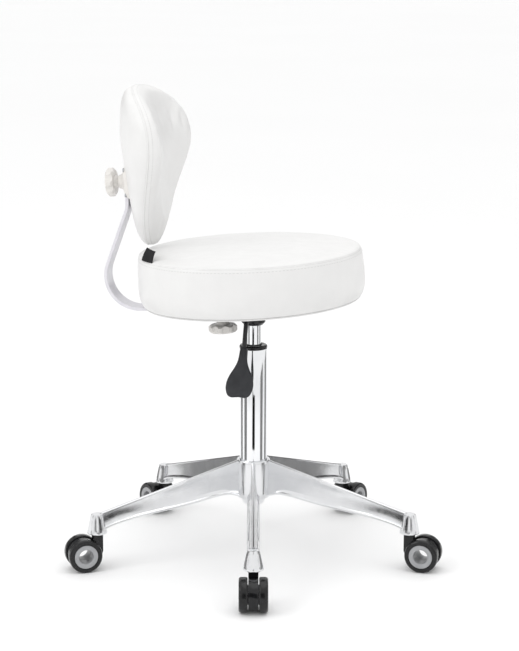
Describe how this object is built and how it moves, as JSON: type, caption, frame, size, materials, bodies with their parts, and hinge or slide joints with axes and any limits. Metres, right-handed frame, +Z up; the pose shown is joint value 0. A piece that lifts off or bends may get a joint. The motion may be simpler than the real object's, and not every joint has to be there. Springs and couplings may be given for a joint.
{
  "type": "rolling salon stool with backrest",
  "caption": "Height-adjustable rolling salon stool with a round padded seat, a wrap-around back pad on a flat J-shaped bar, a gas lift column and a star base on twin-wheel casters.",
  "frame": {"origin": "on the floor, on the column's axis", "axes": "+Z up along the column, +X towards the front of the seat, +Y to the sitter's left"},
  "size_m": [0.6675, 0.6733, 0.8556],
  "materials": {
    "vinyl": "white polyurethane leather, low sheen",
    "foam": "open foam",
    "plywood": "raw plywood",
    "liner": "black non-woven liner",
    "tag": "woven blank tag",
    "bar_paint": "satin powder coat",
    "knob": "satin moulded",
    "black_paint": "semi-gloss black",
    "black_gloss": "gloss moulded",
    "black_matt": "matt moulded",
    "chrome": "bright plated",
    "zinc_steel": "zinc plated",
    "cast_base": "polished cast",
    "hub_grey": "grey moulded",
    "tyre": "gloss black tread",
    "rubber": "seal rubber"
  },
  "bodies": {
    "base": {"base_casting": "cast_base", "column_tube": "chrome", "column_collar": "black_gloss", "column_bush": "black_matt", "thrust_bearing": "zinc_steel", "caster_1_stem": "zinc_steel", "caster_2_stem": "zinc_steel", "caster_3_stem": "zinc_steel", "caster_4_stem": "zinc_steel", "caster_5_stem": "zinc_steel"},
    "gas_core": {"piston_rod": "zinc_steel", "piston": "zinc_steel", "retaining_clip": "zinc_steel"},
    "seat": {"gas_cylinder": "chrome", "rod_seal": "rubber", "taper_socket": "black_paint", "lever_pin": "zinc_steel", "seat_plate": "black_paint", "bar_guide": "black_paint", "plate_bolts": "zinc_steel", "tee_nuts": "zinc_steel", "seat_board": "plywood", "seat_foam": "foam", "seat_cover": "vinyl", "seat_welt": "vinyl", "dust_cover": "liner", "seat_tag": "tag"},
    "lever": {"lever_rod": "black_paint", "lever_paddle": "black_matt"},
    "release": {"release_button": "zinc_steel"},
    "back_arm": {"back_bar": "bar_paint"},
    "back_pad": {"back_board": "plywood", "back_front_pad": "vinyl", "back_rear_pad": "vinyl", "back_bracket": "knob", "bracket_screws": "zinc_steel"},
    "seat_clamp": {"seat_knob": "knob", "seat_knob_screw": "zinc_steel"},
    "back_clamp": {"back_knob": "knob", "back_knob_screw": "zinc_steel"},
    "caster_1": {"caster_1_housing": "black_gloss", "caster_1_hub": "hub_grey"},
    "caster_1_wheel_l": {"caster_1_wheel_l": "tyre"},
    "caster_1_wheel_r": {"caster_1_wheel_r": "tyre"},
    "caster_2": {"caster_2_housing": "black_gloss", "caster_2_hub": "hub_grey"},
    "caster_2_wheel_l": {"caster_2_wheel_l": "tyre"},
    "caster_2_wheel_r": {"caster_2_wheel_r": "tyre"},
    "caster_3": {"caster_3_housing": "black_gloss", "caster_3_hub": "hub_grey"},
    "caster_3_wheel_l": {"caster_3_wheel_l": "tyre"},
    "caster_3_wheel_r": {"caster_3_wheel_r": "tyre"},
    "caster_4": {"caster_4_housing": "black_gloss", "caster_4_hub": "hub_grey"},
    "caster_4_wheel_l": {"caster_4_wheel_l": "tyre"},
    "caster_4_wheel_r": {"caster_4_wheel_r": "tyre"},
    "caster_5": {"caster_5_housing": "black_gloss", "caster_5_hub": "hub_grey"},
    "caster_5_wheel_l": {"caster_5_wheel_l": "tyre"},
    "caster_5_wheel_r": {"caster_5_wheel_r": "tyre"}
  },
  "joints": [
    {"name": "seat_swivel", "type": "hinge", "parent": "base", "child": "gas_core", "pos_m": [0, 0, 0], "axis": [0, 0, 1], "continuous": true},
    {"name": "gas_lift", "type": "slide", "parent": "gas_core", "child": "seat", "axis": [0, 0, 1], "range_m": [0, 0.13]},
    {"name": "lever_pivot", "type": "hinge", "parent": "seat", "child": "lever", "pos_m": [0, -0.027, 0.4525], "axis": [-1, 0, 0], "range_deg": [0, 6], "stiffness_Nm_per_rad": 0.5},
    {"name": "release_press", "type": "slide", "parent": "seat", "child": "release", "axis": [0, 0, -1], "range_m": [0, 0.0032], "stiffness_N_per_m": 300},
    {"name": "bar_slide", "type": "slide", "parent": "seat", "child": "back_arm", "axis": [0.9983, 0, 0.0576], "range_m": [-0.05, 0.03]},
    {"name": "pad_height", "type": "slide", "parent": "back_arm", "child": "back_pad", "axis": [0, 0, 1], "range_m": [0, 0.064]},
    {"name": "seat_knob_turn", "type": "hinge", "parent": "seat", "child": "seat_clamp", "pos_m": [-0.05536, 0, 0.41231], "axis": [0.0576, 0, -0.9983], "range_deg": [0, 360]},
    {"name": "back_knob_turn", "type": "hinge", "parent": "back_pad", "child": "back_clamp", "pos_m": [-0.26572, 0, 0.67871], "axis": [-0.9971, 0, -0.0767], "range_deg": [0, 360]},
    {"name": "caster_1_swivel", "type": "hinge", "parent": "base", "child": "caster_1", "pos_m": [0.05408, -0.28898, 0.05], "axis": [0, 0, 1], "continuous": true},
    {"name": "caster_1_spin_l", "type": "hinge", "parent": "caster_1", "child": "caster_1_wheel_l", "pos_m": [0.05886, -0.31454, 0.03], "axis": [0.9829, 0.184, 0], "continuous": true},
    {"name": "caster_1_spin_r", "type": "hinge", "parent": "caster_1", "child": "caster_1_wheel_r", "pos_m": [0.05886, -0.31454, 0.03], "axis": [0.9829, 0.184, 0], "continuous": true},
    {"name": "caster_2_swivel", "type": "hinge", "parent": "base", "child": "caster_2", "pos_m": [0.29155, -0.03787, 0.05], "axis": [0, 0, 1], "continuous": true},
    {"name": "caster_2_spin_l", "type": "hinge", "parent": "caster_2", "child": "caster_2_wheel_l", "pos_m": [0.31733, -0.04122, 0.03], "axis": [0.1288, 0.9917, 0], "continuous": true},
    {"name": "caster_2_spin_r", "type": "hinge", "parent": "caster_2", "child": "caster_2_wheel_r", "pos_m": [0.31733, -0.04122, 0.03], "axis": [0.1288, 0.9917, 0], "continuous": true},
    {"name": "caster_3_swivel", "type": "hinge", "parent": "base", "child": "caster_3", "pos_m": [0.12611, 0.26558, 0.05], "axis": [0, 0, 1], "continuous": true},
    {"name": "caster_3_spin_l", "type": "hinge", "parent": "caster_3", "child": "caster_3_wheel_l", "pos_m": [0.13726, 0.28907, 0.03], "axis": [-0.9033, 0.4289, 0], "continuous": true},
    {"name": "caster_3_spin_r", "type": "hinge", "parent": "caster_3", "child": "caster_3_wheel_r", "pos_m": [0.13726, 0.28907, 0.03], "axis": [-0.9033, 0.4289, 0], "continuous": true},
    {"name": "caster_4_swivel", "type": "hinge", "parent": "base", "child": "caster_4", "pos_m": [-0.21361, 0.202, 0.05], "axis": [0, 0, 1], "continuous": true},
    {"name": "caster_4_spin_l", "type": "hinge", "parent": "caster_4", "child": "caster_4_wheel_l", "pos_m": [-0.2325, 0.21987, 0.03], "axis": [-0.6871, -0.7266, 0], "continuous": true},
    {"name": "caster_4_spin_r", "type": "hinge", "parent": "caster_4", "child": "caster_4_wheel_r", "pos_m": [-0.2325, 0.21987, 0.03], "axis": [-0.6871, -0.7266, 0], "continuous": true},
    {"name": "caster_5_swivel", "type": "hinge", "parent": "base", "child": "caster_5", "pos_m": [-0.25813, -0.14073, 0.05], "axis": [0, 0, 1], "continuous": true},
    {"name": "caster_5_spin_l", "type": "hinge", "parent": "caster_5", "child": "caster_5_wheel_l", "pos_m": [-0.28096, -0.15318, 0.03], "axis": [0.4787, -0.878, 0], "continuous": true},
    {"name": "caster_5_spin_r", "type": "hinge", "parent": "caster_5", "child": "caster_5_wheel_r", "pos_m": [-0.28096, -0.15318, 0.03], "axis": [0.4787, -0.878, 0], "continuous": true}
  ],
  "couplings": [
    {"joint": "release_press", "follows": "lever_pivot", "m_per_rad": 0.0285}
  ]
}
